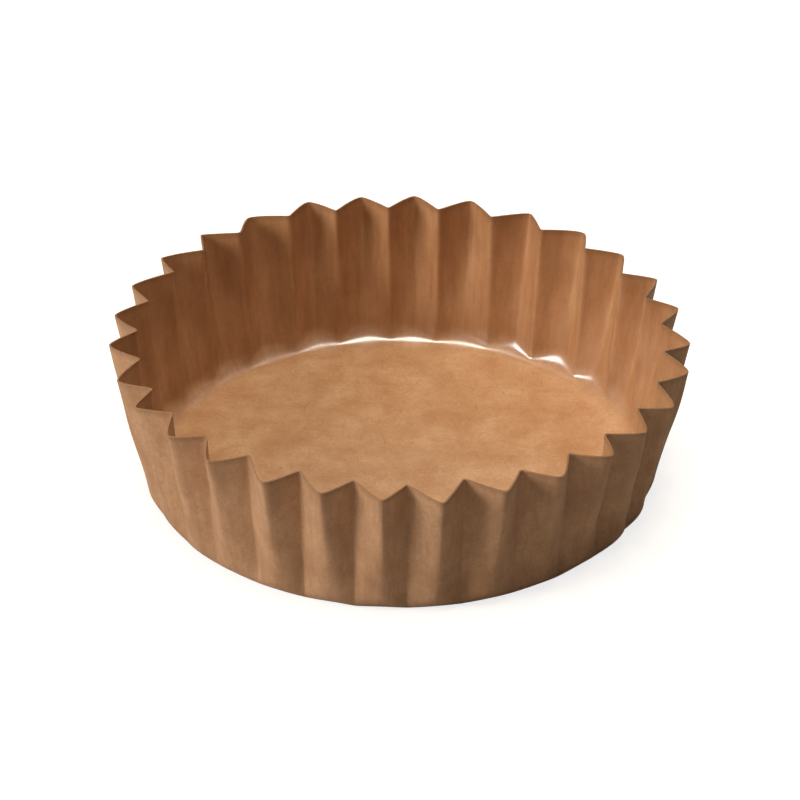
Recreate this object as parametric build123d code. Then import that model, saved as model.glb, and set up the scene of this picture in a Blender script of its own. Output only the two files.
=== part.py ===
"""A shallow pleated paper baking cup.

One round blank of kraft paper, pressed in a fluted die: a flat floor, a rounded heel, and a
wall of upright pleats that open out from nothing at the floor to their full depth at the rim.
Millimetres. The origin is the centre of the underside, and +Z points up out of the mouth.
"""

from build123d import *
import math
import os

# Driving dimensions, all on the outer face of the paper
PLEATS = 30
FLOOR_RADIUS = 29.4
RIM_CREST_RADIUS = 35.0
RIM_VALLEY_RADIUS = 31.9
RIM_CREST_HEIGHT = 18.4
RIM_VALLEY_HEIGHT = 18.9  # the steeper valley line carries the blank's edge a little higher
HEEL_RADIUS = 1.6  # the same all round, so the cup stands on a smooth circle
PAPER_THICKNESS = 0.2
CREST_ROUNDING = 0.3  # of half a pleat: 0 is a sharp crest, and a large value a round one

# How finely one pleat is described
PLEAT_PHASES = [-1, -0.75, -0.5, -0.32, -0.16, 0, 0.16, 0.32, 0.5, 0.75, 1]
HEEL_TURNS = [0, 0.25, 0.5, 0.75, 1]
RIM_TRAVEL = 2
PLEAT_ANGLE = 360 / PLEATS
SMALL_STEP = 1e-4


def fold_share(phase):
    """How far out one pleat's section is: 1 on its crest (phase 0), 0 on its valleys (-1 and 1).

    The section is a hyperbola, so the crest is round, the flanks are nearly straight, and two
    neighbouring pleats meet in a sharp valley crease.
    """
    full_fall = math.hypot(1, CREST_ROUNDING) - CREST_ROUNDING
    fall = math.hypot(phase, CREST_ROUNDING) - CREST_ROUNDING
    return 1 - fall / full_fall


def between(valley_value, crest_value, phase):
    """A size that runs from its valley value to its crest value across the pleat."""
    return valley_value + (crest_value - valley_value) * fold_share(phase)


def outer_point(phase, travel):
    """A point on the outer face, on the meridian at this phase of the pleat.

    Travel goes from 0 to 1 round the heel's arc, which leaves the floor level, and from 1 to 2
    up the straight wall line, which leaves the arc as its tangent and ends at the rim.
    """
    rim_out = between(RIM_VALLEY_RADIUS, RIM_CREST_RADIUS, phase) - FLOOR_RADIUS
    rim_up = between(RIM_VALLEY_HEIGHT, RIM_CREST_HEIGHT, phase) - HEEL_RADIUS
    wall_length = math.sqrt(rim_out**2 + rim_up**2 - HEEL_RADIUS**2)
    wall_angle = math.atan2(rim_up, rim_out) + math.atan2(HEEL_RADIUS, wall_length)
    turn = wall_angle * min(travel, 1)
    along_wall = wall_length * max(travel - 1, 0)
    radius = FLOOR_RADIUS + HEEL_RADIUS * math.sin(turn) + along_wall * math.cos(turn)
    height = HEEL_RADIUS * (1 - math.cos(turn)) + along_wall * math.sin(turn)
    around = math.radians(phase * PLEAT_ANGLE / 2)
    return Vector(radius * math.cos(around), radius * math.sin(around), height)


def inner_point(phase, travel):
    """The point on the inner face, one paper thickness in from the outer point.

    At a valley crease the two flanks' inner faces are carried on until they meet.
    """
    inside_phase = max(-1 + SMALL_STEP, min(1 - SMALL_STEP, phase))
    before = outer_point(inside_phase - SMALL_STEP, travel)
    after = outer_point(inside_phase + SMALL_STEP, travel)
    lower = outer_point(inside_phase, travel - SMALL_STEP)
    upper = outer_point(inside_phase, travel + SMALL_STEP)
    inward = (upper - lower).cross(after - before).normalized()
    if abs(phase) == 1:
        around = math.radians(phase * PLEAT_ANGLE / 2)
        across = Vector(-math.sin(around), math.cos(around), 0)
        in_plane = inward - across * inward.dot(across)
        inward = in_plane * (1 / in_plane.dot(in_plane))
    return outer_point(phase, travel) + inward * PAPER_THICKNESS


def fold_line(point, travel):
    """The section of one pleat, from valley over crest to valley, at this travel."""
    return Edge.make_spline([point(phase, travel) for phase in PLEAT_PHASES])


def pleat_faces():
    """The faces of one pleat: heel and wall, outside and inside, and the cut edge of the rim."""
    faces = []
    for point in (outer_point, inner_point):
        sections = [fold_line(point, turn) for turn in HEEL_TURNS]
        heel = Shell.make_loft([Wire([section]) for section in sections])
        wall = Face.make_surface_from_curves(sections[-1], fold_line(point, RIM_TRAVEL))
        faces += [*heel.faces(), wall]
    rim = Face.make_surface_from_curves(
        fold_line(outer_point, RIM_TRAVEL), fold_line(inner_point, RIM_TRAVEL)
    )
    return faces + [rim]


def floor_face(point):
    """The flat round floor, outside or inside, bounded by the foot of every pleat."""
    foot = fold_line(point, 0)
    return Face(Wire([Rot(0, 0, k * PLEAT_ANGLE) * foot for k in range(PLEATS)]))


def liner():
    """The whole cup, closed from one pleat's faces turned round the axis and the two floors."""
    pleat = pleat_faces()
    walls = [Rot(0, 0, k * PLEAT_ANGLE) * face for k in range(PLEATS) for face in pleat]
    return Solid(Shell(walls + [floor_face(outer_point), floor_face(inner_point)]))


os.makedirs("parts", exist_ok=True)
export_step(liner(), "parts/liner.step")
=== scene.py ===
"""A pleated kraft paper baking cup, pressed from one round blank, standing on a pale table.

Metres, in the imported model's frame: the origin is the centre of the underside, +Z is up out of
the mouth, and one pleat's crest is on +X.
"""

import math
import random

import bmesh
import bpy
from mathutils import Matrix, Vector, noise


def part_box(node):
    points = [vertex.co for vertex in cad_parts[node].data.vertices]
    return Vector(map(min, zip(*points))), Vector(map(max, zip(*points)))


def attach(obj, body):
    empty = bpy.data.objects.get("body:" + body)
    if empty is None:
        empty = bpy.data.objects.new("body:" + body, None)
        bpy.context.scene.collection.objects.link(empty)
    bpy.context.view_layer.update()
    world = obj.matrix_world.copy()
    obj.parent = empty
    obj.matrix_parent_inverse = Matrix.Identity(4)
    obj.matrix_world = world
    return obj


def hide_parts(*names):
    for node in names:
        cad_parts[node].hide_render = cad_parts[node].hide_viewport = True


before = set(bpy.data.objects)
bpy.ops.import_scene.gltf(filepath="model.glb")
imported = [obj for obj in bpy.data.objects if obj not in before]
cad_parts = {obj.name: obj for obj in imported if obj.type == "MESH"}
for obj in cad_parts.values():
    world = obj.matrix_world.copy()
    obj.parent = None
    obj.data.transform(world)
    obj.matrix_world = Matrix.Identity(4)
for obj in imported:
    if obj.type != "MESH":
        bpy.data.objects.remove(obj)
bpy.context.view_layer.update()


# ------------------------------------------------------------------------------------- the blank
# The cup is one disc of unbleached kraft paper with a thin grease-resistant film on its upper
# side. It is cut flat. Here it is a flat disc too, with a column of points for each place on a
# pleat, closer together where the folds will be, and its flat plan is kept as its UV map.

MM = 0.001
PLEATS = 30
COLUMNS_PER_PLEAT = 20
FOLD_CROWDING = 0.6  # 0 spreads the columns evenly, 1 would bunch them all at the folds
BLANK_RADIUS = 49.2 * MM
FLOOR_EDGE = 29.05 * MM  # on the blank, where the heel starts to turn
PAPER_THICKNESS = 0.2 * MM
FLOOR_RINGS = [0.06, 0.14, 0.24, 0.34, 0.44, 0.54, 0.64, 0.74, 0.83, 0.9, 0.95, 1.0]
HEEL_RINGS = 12
HEEL_LENGTH = 4.6 * MM  # the part of the blank with the rings close together, for the heel's turn
WALL_RINGS = 26

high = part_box("liner")[1]
PITCH = 2 * math.pi / PLEATS


def crowded(phase):
    """Moves a place on a pleat (-1 valley, 0 crest, 1 valley) towards the nearest fold."""
    return phase - FOLD_CROWDING * math.sin(2 * math.pi * phase) / (2 * math.pi)


def ring_radii():
    """The rings of the blank, from the middle out: floor, heel and wall."""
    floor = [FLOOR_EDGE * share for share in FLOOR_RINGS]
    heel = [FLOOR_EDGE + HEEL_LENGTH * (k + 1) / HEEL_RINGS for k in range(HEEL_RINGS)]
    wall_length = BLANK_RADIUS - heel[-1]
    wall = [heel[-1] + wall_length * (k + 1) / WALL_RINGS for k in range(WALL_RINGS)]
    return floor + heel + wall


def cut_blank():
    """The flat disc: a fan in the middle, then one ring after another extruded outwards."""
    bm = bmesh.new()
    radii = ring_radii()
    made = bmesh.ops.create_circle(
        bm, cap_ends=True, cap_tris=True, segments=PLEATS * COLUMNS_PER_PLEAT, radius=radii[0]
    )
    edge_points = [v for v in made["verts"] if v.co.length > radii[0] / 2]
    for v in edge_points:
        place = math.atan2(v.co.y, v.co.x) / PITCH
        pleat = round(place)
        angle = (pleat + crowded(2 * (place - pleat)) / 2) * PITCH
        v.co = Vector((math.cos(angle), math.sin(angle), 0)) * radii[0]
    rim = [e for e in bm.edges if e.is_boundary]
    for inner, outer in zip(radii, radii[1:]):
        grown = bmesh.ops.extrude_edge_only(bm, edges=rim)["geom"]
        points = [g for g in grown if isinstance(g, bmesh.types.BMVert)]
        bmesh.ops.scale(bm, verts=points, vec=Vector((1, 1, 1)) * (outer / inner))
        rim = [g for g in grown if isinstance(g, bmesh.types.BMEdge) and g.is_boundary]
    plan = bm.loops.layers.uv.new("Blank")
    for face in bm.faces:
        for corner in face.loops:
            flat = corner.vert.co / (2 * BLANK_RADIUS)
            corner[plan].uv = (flat.x + 0.5, flat.y + 0.5)
    return bm


# ---------------------------------------------------------------------------------- the pressing
# A fluted die presses the blank into a flat floor, a small rounded heel and an upright wall of
# pleats. Outer crests stay soft, inner valleys crease sharply, and no two pleats come out alike:
# their pitch, depth, height and the roundness of their folds all vary a little.

RIM_CREST_RADIUS = 34.95 * MM
RIM_VALLEY_RADIUS = 31.9 * MM
RIM_CREST_HEIGHT = high.z - 0.55 * MM
RIM_VALLEY_HEIGHT = high.z - 0.2 * MM
RIM_TILT = 0.016  # the rim stands a little higher on its left side
CREST_FOOT, CREST_HEEL = 28.85 * MM, 3.1 * MM
VALLEY_FOOT, VALLEY_HEEL = 29.38 * MM, 1.35 * MM
RIM_ROUNDING, FOOT_ROUNDING = 0.14, 0.42  # of half a pleat, at a crest
SHARPENING = 1.4  # how soon, going up the wall, a crest gets as sharp as at the rim
VALLEY_ROUNDING = 0.05
WAIST_DEPTH, WAIST_HEIGHT = 0.5 * MM, 3.0 * MM  # the wall draws in a little above the heel
VALLEY_WAIST = 0.7  # of a crest's
FLOOR_SETTLES = 0.85  # of the floor's radius: from here on out it follows the pleats' feet
FOLD_WIDTH = 0.35 * MM  # of the painted line along a valley's fold: painted shade in its outer crease, a painted highlight on its inner ridge
FOLD_PAINT_RISE = 3  # how soon, going up the wall, that line reaches its full strength
chance = random.Random(11)


def uneven(middle, spread):
    """One value for each pleat, never more than twice the spread from the middle."""
    return [
        middle + max(-2 * spread, min(2 * spread, chance.gauss(0, spread)))
        for _ in range(PLEATS)
    ]


crests = {
    "angle": uneven(0, math.radians(0.55)),
    "lean": uneven(0, math.radians(0.35)),
    "rim_radius": uneven(RIM_CREST_RADIUS, 0.12 * MM),
    "rim_height": uneven(RIM_CREST_HEIGHT, 0.1 * MM),
    "foot": uneven(CREST_FOOT, 0.05 * MM),
    "heel": uneven(CREST_HEEL, 0.12 * MM),
}
valleys = {
    "angle": uneven(0, math.radians(0.45)),
    "lean": uneven(0, math.radians(0.3)),
    "rim_radius": uneven(RIM_VALLEY_RADIUS, 0.2 * MM),
    "rim_height": uneven(RIM_VALLEY_HEIGHT, 0.04 * MM),
    "foot": uneven(VALLEY_FOOT, 0.05 * MM),
    "heel": uneven(VALLEY_HEEL, 0.1 * MM),
}
roundness = uneven(1, 0.35)


def fold_share(phase, rounding):
    """How far out one pleat's section is: 1 on its crest and 0 on its valleys."""
    full_fall = math.hypot(1, rounding) - rounding
    share = 1 - (math.hypot(phase, rounding) - rounding) / full_fall
    full_rise = math.hypot(1, VALLEY_ROUNDING) - VALLEY_ROUNDING
    return (math.hypot(share, VALLEY_ROUNDING) - VALLEY_ROUNDING) / full_rise


def pressed(flat):
    """Where a point of the blank's outer face ends up."""
    distance = flat.length
    place = math.atan2(flat.y, flat.x) / PITCH
    pleat = round(place)
    phase = 2 * (place - pleat)
    crest = pleat % PLEATS
    valley = (pleat if phase > 0 else pleat - 1) % PLEATS
    up_wall = max(0, (distance - FLOOR_EDGE) / (BLANK_RADIUS - FLOOR_EDGE))
    rounding = roundness[crest] * (
        FOOT_ROUNDING + (RIM_ROUNDING - FOOT_ROUNDING) * min(1, SHARPENING * up_wall)
    )
    share = fold_share(phase, rounding)

    def mixed(name, weight):
        return valleys[name][valley] * (1 - weight) + crests[name][crest] * weight

    foot, heel = mixed("foot", share), mixed("heel", share)
    out = mixed("rim_radius", share) - foot
    up = mixed("rim_height", share) - heel
    wall_length = math.sqrt(out**2 + up**2 - heel**2)
    wall_angle = math.atan2(up, out) + math.atan2(heel, wall_length)
    settled = max(0, min(1, (distance / FLOOR_EDGE - FLOOR_SETTLES) / (1 - FLOOR_SETTLES)))
    if distance <= FLOOR_EDGE:
        radius = distance + (foot - FLOOR_EDGE) * settled**2 * (3 - 2 * settled)
        height = 0
    else:
        travel = up_wall * (heel * wall_angle + wall_length)
        turn = min(wall_angle, travel / heel)
        along = max(0, travel - heel * wall_angle)
        radius = foot + heel * math.sin(turn) + along * math.cos(wall_angle)
        height = heel * (1 - math.cos(turn)) + along * math.sin(wall_angle)
        up_waist = height / WAIST_HEIGHT
        waist = WAIST_DEPTH * (VALLEY_WAIST + (1 - VALLEY_WAIST) * share)
        radius -= waist * up_waist * math.exp(1 - up_waist)
    across = 1 - abs(phase)
    angle = place * PITCH + settled * mixed("angle", across)
    angle += up_wall * mixed("lean", across)
    height *= 1 - RIM_TILT * radius * math.cos(angle) / high.z
    return Vector((radius * math.cos(angle), radius * math.sin(angle), height))


def painted_fold_line(flat):
    """1 on the fold of a valley in the wall, fading away on both sides and down to the heel."""
    place = math.atan2(flat.y, flat.x) / PITCH
    off_fold = (0.5 - abs(place - round(place))) * PITCH * flat.length
    up_wall = (flat.length - FLOOR_EDGE - HEEL_LENGTH) / (BLANK_RADIUS - FLOOR_EDGE)
    return max(0, 1 - off_fold / FOLD_WIDTH) * max(0, min(1, FOLD_PAINT_RISE * up_wall))


bm = cut_blank()
painted_fold_layer = bm.verts.layers.float.new("painted_fold_line")
for v in bm.verts:
    v[painted_fold_layer] = painted_fold_line(v.co)
    v.co = pressed(v.co)
bm.normal_update()
if min(bm.verts, key=lambda v: v.co.length).normal.z > 0:  # the outer face of the floor looks down
    bmesh.ops.reverse_faces(bm, faces=bm.faces)
bm.normal_update()

# Handling leaves the wall a little wavy and the floor not quite flat.
WAVE_SIZE, WAVE_DEPTH = 6.0 * MM, 0.16 * MM
FULL_WAVE_HEIGHT = 5 * MM
FLOOR_WAVE_SIZE, FLOOR_WAVE_DEPTH = 14 * MM, 0.12 * MM
for v in bm.verts:
    raised = min(1, v.co.z / FULL_WAVE_HEIGHT)
    wave = noise.noise(v.co / WAVE_SIZE) * WAVE_DEPTH * raised
    off_edge = max(0, 1 - (v.co.xy.length / CREST_FOOT) ** 2) if v.co.z == 0 else 0
    bow = (0.5 + 0.5 * noise.noise(v.co / FLOOR_WAVE_SIZE)) * FLOOR_WAVE_DEPTH
    v.co += v.normal * wave + Vector((0, 0, bow * off_edge))

for edge in bm.edges:
    edge.smooth = not edge.is_boundary
for face in bm.faces:
    face.smooth = True
mesh = bpy.data.meshes.new("baking_cup")
bm.to_mesh(mesh)
bm.free()
cup = bpy.data.objects.new("baking_cup", mesh)
bpy.context.scene.collection.objects.link(cup)

paper = cup.modifiers.new("paper_thickness", "SOLIDIFY")
paper.thickness = PAPER_THICKNESS
paper.offset = -1
paper.use_even_offset = True
paper.use_quality_normals = True
paper.material_offset = 1
paper.material_offset_rim = 2


# ------------------------------------------------------------------------------------- the paper
# Unbleached kraft: soft brown pulp with cloudy thick and thin places, fine fibres lying every way
# in the sheet, and a few dark ones. Outside it is dry and matt. Inside, the film gives it a soft
# gloss, highest round the heel, and its colour is deeper; on the inner wall it is deeper still,
# as painted shade. Painted shade also darkens a band along the rim and the outer crease of each
# valley fold, and a painted highlight lightens the fold's inner ridge. The cut edge is coloured
# darker than either face.

CLOUD_SCALE, MOTTLE_SCALE, GRAIN_SCALE = 0.22, 0.8, 2.6  # patches of each to a millimetre
FIBRE_LAYS = ((0.3, 3), (1.4, 17), (2.5, 31))  # how each lay is turned, and its pattern moved
FIBRE_ALONG, FIBRE_ACROSS = 0.45, 5.0
WRINKLES_ROUND, WRINKLES_UP = 34, 0.16
RIM_EDGE = 0.9  # millimetres along the rim darkened as painted shade
RIM_PAINTED_SHADE = 0.5
FLOOR_GLOSS, HEEL_GLOSS = 0.2, 1.0
WALL_PAINTED_SHADE = 0.6  # painted shade: how far the inner wall is turned to the deeper colour


def node(tree, kind, **settings):
    made = tree.nodes.new(kind)
    for name, value in settings.items():
        setattr(made, name, value)
    return made


def set_inputs(made, **values):
    for name, value in values.items():
        made.inputs[name.replace("_", " ")].default_value = value
    return made


def blank_places(tree, turn=0.0, along=1.0, across=1.0):
    """The place on the flat blank, in millimetres, turned and stretched for a pattern."""
    plan = node(tree, "ShaderNodeUVMap", uv_map="Blank")
    size = 2 * BLANK_RADIUS / MM
    flat = node(tree, "ShaderNodeMapping")
    flat.inputs["Scale"].default_value = (size, size, size)
    turned = node(tree, "ShaderNodeMapping")
    turned.inputs["Rotation"].default_value = (0, 0, turn)
    drawn = node(tree, "ShaderNodeMapping")
    drawn.inputs["Scale"].default_value = (along, across, 1)
    tree.links.new(plan.outputs["UV"], flat.inputs["Vector"])
    tree.links.new(flat.outputs["Vector"], turned.inputs["Vector"])
    tree.links.new(turned.outputs["Vector"], drawn.inputs["Vector"])
    return drawn.outputs["Vector"]


def noise_node(tree, vector, scale, detail=2.0, roughness=0.5, distortion=0.0):
    made = node(tree, "ShaderNodeTexNoise", noise_dimensions="2D")
    set_inputs(
        made, Scale=scale, Detail=detail, Roughness=roughness, Distortion=distortion
    )
    tree.links.new(vector, made.inputs["Vector"])
    return made.outputs["Fac"]


def ramp(tree, value, low_value, high_value, low_at, high_at):
    """A straight ramp of a value, held at its ends."""
    made = node(tree, "ShaderNodeMapRange", clamp=True)
    made.inputs["From Min"].default_value = low_at
    made.inputs["From Max"].default_value = high_at
    made.inputs["To Min"].default_value = low_value
    made.inputs["To Max"].default_value = high_value
    tree.links.new(value, made.inputs["Value"])
    return made.outputs["Result"]


def mix_colour(tree, factor, first, second):
    made = node(tree, "ShaderNodeMix", data_type="RGBA")
    for socket, value in (("Factor", factor), ("A", first), ("B", second)):
        found = [i for i in made.inputs if i.name == socket and i.enabled][0]
        if isinstance(value, bpy.types.NodeSocket):
            tree.links.new(value, found)
        else:
            found.default_value = value
    return [o for o in made.outputs if o.enabled][0]


def math_node(tree, operation, first, second):
    made = node(tree, "ShaderNodeMath", operation=operation)
    for socket, value in zip(made.inputs, (first, second)):
        if isinstance(value, bpy.types.NodeSocket):
            tree.links.new(value, socket)
        else:
            socket.default_value = value
    return made.outputs[0]


def wrinkles(tree):
    """Fine wrinkles that the die leaves, running from the heel up to the rim, and four shares
    from 0 to 1: the wrinkles themselves, and how far a place is on the wall, rim or heel."""
    centred = node(tree, "ShaderNodeMapping")
    centred.inputs["Location"].default_value = (-BLANK_RADIUS / MM, -BLANK_RADIUS / MM, 0)
    tree.links.new(blank_places(tree), centred.inputs["Vector"])
    length = node(tree, "ShaderNodeVectorMath", operation="LENGTH")
    outward = node(tree, "ShaderNodeVectorMath", operation="NORMALIZE")
    for made in (length, outward):
        tree.links.new(centred.outputs["Vector"], made.inputs[0])
    spread = node(tree, "ShaderNodeVectorMath", operation="SCALE")
    spread.inputs["Scale"].default_value = WRINKLES_ROUND
    tree.links.new(outward.outputs["Vector"], spread.inputs[0])
    raised = node(tree, "ShaderNodeCombineXYZ")
    from_middle = length.outputs["Value"]
    tree.links.new(math_node(tree, "MULTIPLY", from_middle, WRINKLES_UP), raised.inputs["Z"])
    place = node(tree, "ShaderNodeVectorMath", operation="ADD")
    tree.links.new(spread.outputs["Vector"], place.inputs[0])
    tree.links.new(raised.outputs["Vector"], place.inputs[1])
    made = node(tree, "ShaderNodeTexNoise", noise_dimensions="3D")
    set_inputs(made, Scale=1.0, Detail=3.0, Roughness=0.6)
    tree.links.new(place.outputs["Vector"], made.inputs["Vector"])
    heel_start, heel_end = FLOOR_EDGE / MM, (FLOOR_EDGE + 0.7 * HEEL_LENGTH) / MM
    rim = BLANK_RADIUS / MM
    on_wall = ramp(tree, from_middle, 0, 1, heel_start - 1, heel_start + 4)
    near_rim = ramp(tree, from_middle, 0, 1, rim - RIM_EDGE, rim)
    past_floor = ramp(tree, from_middle, 0, 1, heel_start - 0.2, heel_start + 0.9)
    under_wall = ramp(tree, from_middle, 1, 0, heel_end - 0.8, heel_end + 0.8)
    on_heel = math_node(tree, "MULTIPLY", past_floor, under_wall)
    return made.outputs["Fac"], on_wall, near_rim, on_heel


def fibres(tree, turn, seed_shift):
    """Short fibres lying one way: long thin streaks, bent a little, from 0 to 1."""
    streaks = blank_places(tree, turn, FIBRE_ALONG, FIBRE_ACROSS)
    moved = node(tree, "ShaderNodeMapping")
    moved.inputs["Location"].default_value = (seed_shift, seed_shift * 1.7, 0)
    tree.links.new(streaks, moved.inputs["Vector"])
    return noise_node(tree, moved.outputs["Vector"], 1.0, 2.0, 0.6, 0.6)


def pulp_colour(tree, lays, tangle, grain, pale, deep, fleck_and_shade):
    """The colour of the flat sheet."""
    places = blank_places(tree)
    clouds = noise_node(tree, places, CLOUD_SCALE, 4.0, 0.55)
    mottle = noise_node(tree, places, MOTTLE_SCALE, 3.0, 0.6, 0.4)
    colour = mix_colour(tree, ramp(tree, clouds, 0, 1, 0.3, 0.7), pale, deep)
    colour = mix_colour(tree, ramp(tree, mottle, 0.45, 0, 0.3, 0.5), colour, deep)
    colour = mix_colour(tree, ramp(tree, mottle, 0, 0.35, 0.55, 0.75), colour, pale)
    colour = mix_colour(tree, ramp(tree, tangle, 0.3, 0, 1.2, 1.8), colour, deep)
    colour = mix_colour(tree, ramp(tree, lays[0], 0, 0.22, 0.62, 0.72), colour, pale)
    colour = mix_colour(tree, ramp(tree, lays[1], 0, 0.5, 0.69, 0.76), colour, fleck_and_shade)
    return mix_colour(tree, ramp(tree, grain, 0.2, 0, 0.35, 0.6), colour, fleck_and_shade)


def kraft(name, pale, deep, fleck_and_shade, fold_paint_colour, fold_paint_strength, relief_depth, film, **shine):
    """One face of the sheet: its pulp, the die's wrinkles, the painted fold lines and painted rim
    shade, and its film if it has one, which also brings painted shade on the wall.
    """
    material = bpy.data.materials.new(name)
    material.use_nodes = True
    tree = material.node_tree
    shader = tree.nodes["Principled BSDF"]
    grain = noise_node(tree, blank_places(tree), GRAIN_SCALE, 3.0, 0.6)
    lays = [fibres(tree, turn, shift) for turn, shift in FIBRE_LAYS]
    tangle = math_node(tree, "ADD", math_node(tree, "ADD", lays[0], lays[1]), lays[2])
    colour = pulp_colour(tree, lays, tangle, grain, pale, deep, fleck_and_shade)
    creased, on_wall, near_rim, on_heel = wrinkles(tree)
    if film:  # painted shade: the inner wall is turned towards the deeper colour, for the shade inside the cup
        colour = mix_colour(tree, math_node(tree, "MULTIPLY", on_wall, WALL_PAINTED_SHADE), colour, deep)
    dark_lines = math_node(tree, "MULTIPLY", ramp(tree, creased, 0.34, 0, 0.3, 0.52), on_wall)
    pale_lines = math_node(tree, "MULTIPLY", ramp(tree, creased, 0, 0.3, 0.52, 0.72), on_wall)
    colour = mix_colour(tree, dark_lines, colour, fleck_and_shade)
    colour = mix_colour(tree, pale_lines, colour, pale)
    # Painted shade along each valley's outer crease, and a painted highlight along its inner ridge
    fold_paint_attribute = node(tree, "ShaderNodeAttribute", attribute_name="painted_fold_line")
    fold_paint_share = math_node(tree, "MULTIPLY", fold_paint_attribute.outputs["Fac"], fold_paint_strength)
    colour = mix_colour(tree, fold_paint_share, colour, fold_paint_colour)
    # Painted shade: a darker band along the rim
    colour = mix_colour(tree, math_node(tree, "MULTIPLY", near_rim, RIM_PAINTED_SHADE), colour, fleck_and_shade)
    tree.links.new(colour, shader.inputs["Base Color"])
    surface = node(tree, "ShaderNodeBump")
    set_inputs(surface, Strength=0.35, Distance=relief_depth)
    relief = math_node(tree, "ADD", tangle, grain)
    relief = math_node(tree, "ADD", relief, math_node(tree, "MULTIPLY", creased, on_wall))
    tree.links.new(relief, surface.inputs["Height"])
    tree.links.new(surface.outputs["Normal"], shader.inputs["Normal"])
    if film:  # burnished by the die where it is drawn round the heel
        gloss = ramp(tree, on_heel, FLOOR_GLOSS, HEEL_GLOSS, 0, 1)
        tree.links.new(gloss, shader.inputs["Coat Weight"])
    set_inputs(shader, **shine)
    return material


kraft_outside = kraft(
    "kraft_outside",
    pale=(0.59, 0.333, 0.182, 1),
    deep=(0.44, 0.224, 0.105, 1),
    fleck_and_shade=(0.25, 0.11, 0.045, 1),
    # painted shade in the outer crease of each valley fold
    fold_paint_colour=(0.34, 0.16, 0.07, 1),
    fold_paint_strength=0.35,
    relief_depth=0.05 * MM,
    film=False,
    Roughness=0.55,
    Specular_IOR_Level=0.8,
    Sheen_Weight=0.12,
    Sheen_Roughness=0.5,
)
film_inside = kraft(
    "film_inside",
    pale=(0.555, 0.316, 0.164, 1),
    deep=(0.41, 0.19, 0.078, 1),
    fleck_and_shade=(0.22, 0.09, 0.033, 1),
    # a painted highlight on the inner ridge of each valley fold
    fold_paint_colour=(0.6, 0.34, 0.17, 1),
    fold_paint_strength=0.1,
    relief_depth=0.012 * MM,
    film=True,
    Roughness=0.5,
    Specular_IOR_Level=0.5,
    Coat_Roughness=0.25,
    Coat_IOR=2.1,
)
cut_edge = kraft(
    "cut_edge",
    pale=(0.38, 0.2, 0.1, 1),
    deep=(0.3, 0.15, 0.07, 1),
    fleck_and_shade=(0.2, 0.1, 0.045, 1),
    # painted shade where the valley folds meet the cut edge
    fold_paint_colour=(0.3, 0.15, 0.07, 1),
    fold_paint_strength=0.2,
    relief_depth=0.05 * MM,
    film=False,
    Roughness=0.9,
)
for material in (kraft_outside, film_inside, cut_edge):
    mesh.materials.append(material)

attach(cup, "root")
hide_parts("liner")


# ------------------------------------------------------------------------------------- the table
# A plain pale table top, matt, with only the cup's own soft shadow on it.

TABLE_RADIUS = 3.0
TABLE_GLOW = 0.8  # to the eye only, so that it looks whiter than the light it gives back

bm = bmesh.new()
bmesh.ops.create_circle(bm, cap_ends=True, segments=64, radius=TABLE_RADIUS)
table_mesh = bpy.data.meshes.new("table")
bm.to_mesh(table_mesh)
bm.free()
table = bpy.data.objects.new("table", table_mesh)
bpy.context.scene.collection.objects.link(table)

table_paint = bpy.data.materials.new("table_white")
table_paint.use_nodes = True
tree = table_paint.node_tree
shader = tree.nodes["Principled BSDF"]
shader.inputs["Base Color"].default_value = (0.4, 0.345, 0.29, 1)
shader.inputs["Roughness"].default_value = 0.9
seen = node(tree, "ShaderNodeLightPath")
glow = math_node(tree, "MULTIPLY", seen.outputs["Is Camera Ray"], TABLE_GLOW)
shader.inputs["Emission Color"].default_value = (1, 1, 1, 1)
tree.links.new(glow, shader.inputs["Emission Strength"])
table_mesh.materials.append(table_paint)


# --------------------------------------------------------------------------- the light and camera
# A warm soft box overhead, a round one low on the left, a faint backdrop beyond the cup, and a pale
# room all round. The camera looks down on the cup with a long lens.

ROOM_FILL, ROOM_IN_REFLECTIONS = 0.03, 0.14

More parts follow.
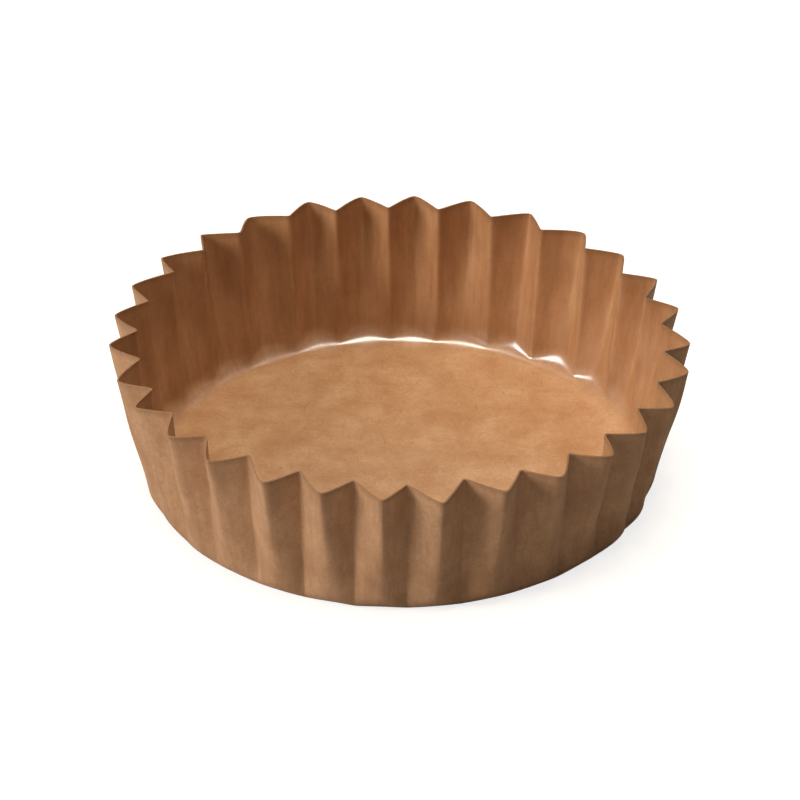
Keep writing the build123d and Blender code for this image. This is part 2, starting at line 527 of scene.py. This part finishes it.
world = bpy.data.worlds.new("room")
bpy.context.scene.world = world
world.use_nodes = True
tree = world.node_tree
room = tree.nodes["Background"]
seen = node(tree, "ShaderNodeLightPath")
room.inputs["Color"].default_value = (1, 1, 1, 1)
reflected = math_node(tree, "MULTIPLY", seen.outputs["Is Glossy Ray"], ROOM_IN_REFLECTIONS)
shown = math_node(tree, "MAXIMUM", seen.outputs["Is Camera Ray"], reflected)
level = ramp(tree, shown, ROOM_FILL, 1.0, 0, 1)
tree.links.new(level, room.inputs["Strength"])


def soft_box(name, place, width, depth, power, colour):
    """A round or oval lamp that faces the cup."""
    light = bpy.data.lights.new(name, "AREA")
    light.shape = "ELLIPSE"
    light.size, light.size_y = width, depth
    light.energy = power
    light.color = colour
    lamp = bpy.data.objects.new(name, light)
    lamp.location = place
    lamp.rotation_euler = (-Vector(place)).to_track_quat("-Z", "Y").to_euler()
    lamp.visible_camera = False
    bpy.context.scene.collection.objects.link(lamp)


soft_box("overhead", (0, 0.02, 0.8), width=0.44, depth=0.6, power=6.3, colour=(1, 0.965, 0.84))
soft_box("left_side", (-0.9, -0.31, 0.44), width=0.56, depth=0.56, power=9.2, colour=(1, 0.98, 0.93))
soft_box("far_backdrop", (0.4, 1.4, 0.9), width=1.6, depth=0.9, power=2.0, colour=(1, 0.95, 0.75))

VIEW_ELEVATION = math.radians(32.3)
VIEW_AZIMUTH = math.radians(-2.4)
VIEW_DISTANCE = 0.8
AIM = Vector((0, 0, 10.26 * MM))
FRAME_WIDTH = 97 * MM  # what the picture spans, side to side, at the cup

to_camera = Vector(
    (
        math.sin(VIEW_AZIMUTH) * math.cos(VIEW_ELEVATION),
        -math.cos(VIEW_AZIMUTH) * math.cos(VIEW_ELEVATION),
        math.sin(VIEW_ELEVATION),
    )
)
lens = bpy.data.cameras.new("camera")
lens.sensor_width = 36
lens.lens = lens.sensor_width * VIEW_DISTANCE / FRAME_WIDTH
lens.clip_start = 0.01
lens.clip_end = 20
camera = bpy.data.objects.new("camera", lens)
camera.location = AIM + to_camera * VIEW_DISTANCE
camera.rotation_euler = (-to_camera).to_track_quat("-Z", "Y").to_euler()
bpy.context.scene.collection.objects.link(camera)
bpy.context.scene.camera = camera
bpy.context.scene.view_settings.view_transform = "Standard"
